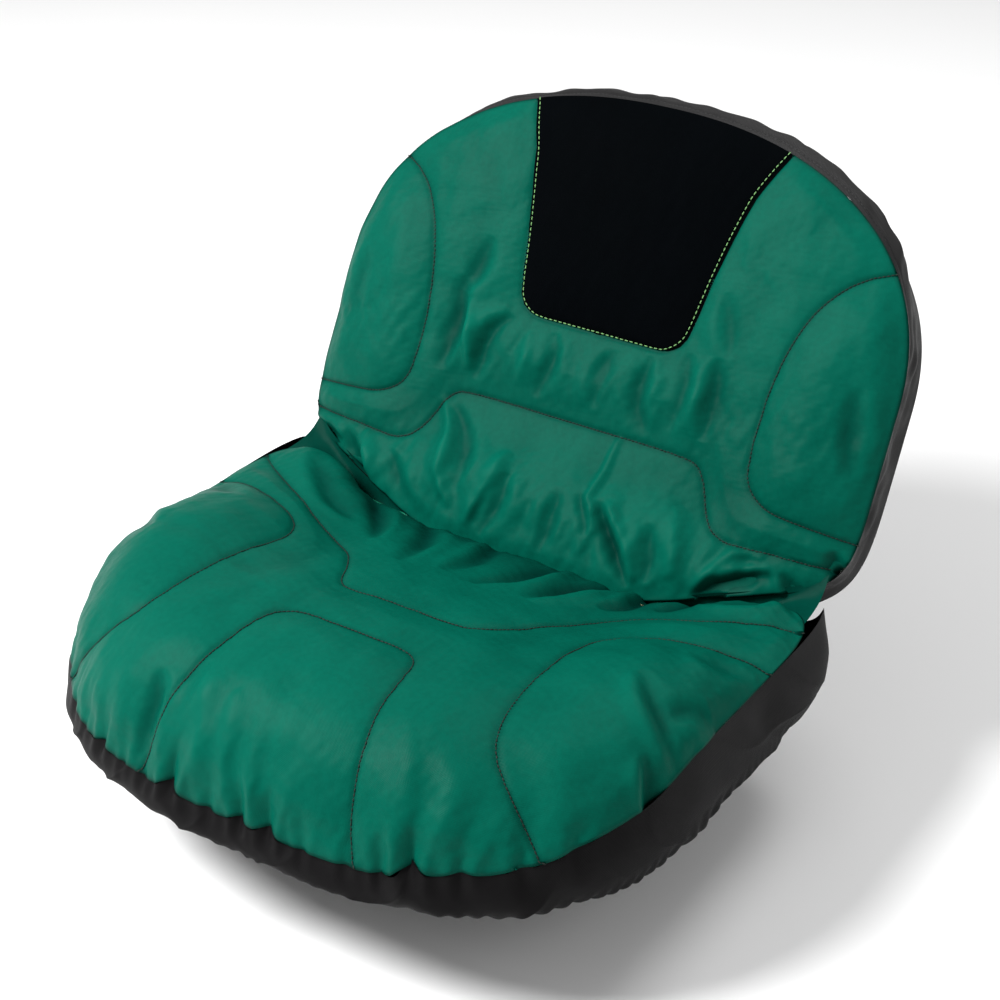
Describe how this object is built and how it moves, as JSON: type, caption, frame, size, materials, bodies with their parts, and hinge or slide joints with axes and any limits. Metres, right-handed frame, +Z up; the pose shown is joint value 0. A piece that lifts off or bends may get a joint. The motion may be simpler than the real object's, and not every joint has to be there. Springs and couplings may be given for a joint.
{
  "type": "riding mower seat",
  "caption": "Bucket seat with a green and black padded fabric cover, on slide rails, coil springs and a tip-forward hinge bracket.",
  "frame": {"origin": "centre of the base plate's four mounting holes, on the plate's underside", "axes": "+Z up, -Y the way the sitter faces, +X to the viewer's right when looking at the front"},
  "size_m": [0.494, 0.5796, 0.4359],
  "materials": {
    "black_steel": "satin",
    "zinc_steel": "satin",
    "spring_steel": "satin",
    "nylon": "satin",
    "black_rubber": "matte",
    "black_plastic": "satin",
    "pan_plastic": "matte",
    "foam": "matte",
    "green_fabric": "satin",
    "black_fabric": "satin",
    "charcoal_fabric": "satin",
    "head_fabric": "matte",
    "elastic": "matte",
    "welt_cloth": "satin"
  },
  "bodies": {
    "base": {"base_plate": "black_steel", "hinge_bush_left": "nylon", "hinge_bush_right": "nylon", "bumper_left": "black_rubber", "bumper_right": "black_rubber"},
    "tilt": {"tilt_frame": "black_steel", "hinge_pin": "zinc_steel", "pin_clip": "spring_steel", "guide_bolts": "zinc_steel", "spring_front_left": "spring_steel", "spring_front_right": "spring_steel", "spring_rear_left": "spring_steel", "spring_rear_right": "spring_steel"},
    "carrier": {"carrier_plate": "black_steel", "lower_rail_left": "zinc_steel", "lower_rail_right": "zinc_steel", "rail_rivets": "zinc_steel"},
    "seat": {"upper_rail_left": "zinc_steel", "upper_rail_right": "zinc_steel", "slide_shoes_left": "nylon", "slide_shoes_right": "nylon", "clamp_bracket": "black_steel", "seat_pan": "pan_plastic", "back_shell": "pan_plastic", "pan_bolts": "zinc_steel", "back_bolts": "zinc_steel", "switch_body": "black_plastic", "switch_screws": "zinc_steel", "seat_foam": "foam", "back_foam": "foam", "cover_seat_panel": "green_fabric", "cover_skirt": "black_fabric", "cover_hem": "black_fabric", "hem_elastic": "elastic", "cover_back_panel": "green_fabric", "cover_head_panel": "head_fabric", "cover_gusset": "charcoal_fabric", "cover_rear_panel": "black_fabric", "rear_pocket": "black_fabric", "crease_welt": "welt_cloth"},
    "switch_button": {"switch_plunger": "nylon"},
    "clamp_foot": {"clamp_pad": "black_rubber"},
    "clamp_handle": {"clamp_screw": "zinc_steel", "clamp_knob": "black_plastic"}
  },
  "joints": [
    {"name": "seat_flip", "type": "hinge", "parent": "base", "child": "tilt", "pos_m": [0, -0.14, 0.038], "axis": [1, 0, 0], "range_deg": [0, 62]},
    {"name": "suspension", "type": "slide", "parent": "tilt", "child": "carrier", "axis": [0, 0, 1], "range_m": [-0.015, 0], "stiffness_N_per_m": 45000, "springref_m": 0.005, "deforming": ["spring_front_left", "spring_front_right", "spring_rear_left", "spring_rear_right"]},
    {"name": "fore_aft", "type": "slide", "parent": "carrier", "child": "seat", "axis": [0, 1, 0], "range_m": [-0.05, 0.05]},
    {"name": "switch_press", "type": "slide", "parent": "seat", "child": "switch_button", "axis": [0, 0, 1], "range_m": [-0.004, 0], "stiffness_N_per_m": 900, "springref_m": 0.004},
    {"name": "clamp_travel", "type": "slide", "parent": "seat", "child": "clamp_foot", "axis": [-1, 0, 0], "range_m": [0, 0.00187]},
    {"name": "clamp_turn", "type": "hinge", "parent": "clamp_foot", "child": "clamp_handle", "pos_m": [-0.15, 0, 0.07], "axis": [-1, 0, 0], "range_deg": [0, 540]}
  ],
  "couplings": [
    {"joint": "clamp_turn", "follows": "clamp_travel", "rad_per_m": 5026.5}
  ]
}
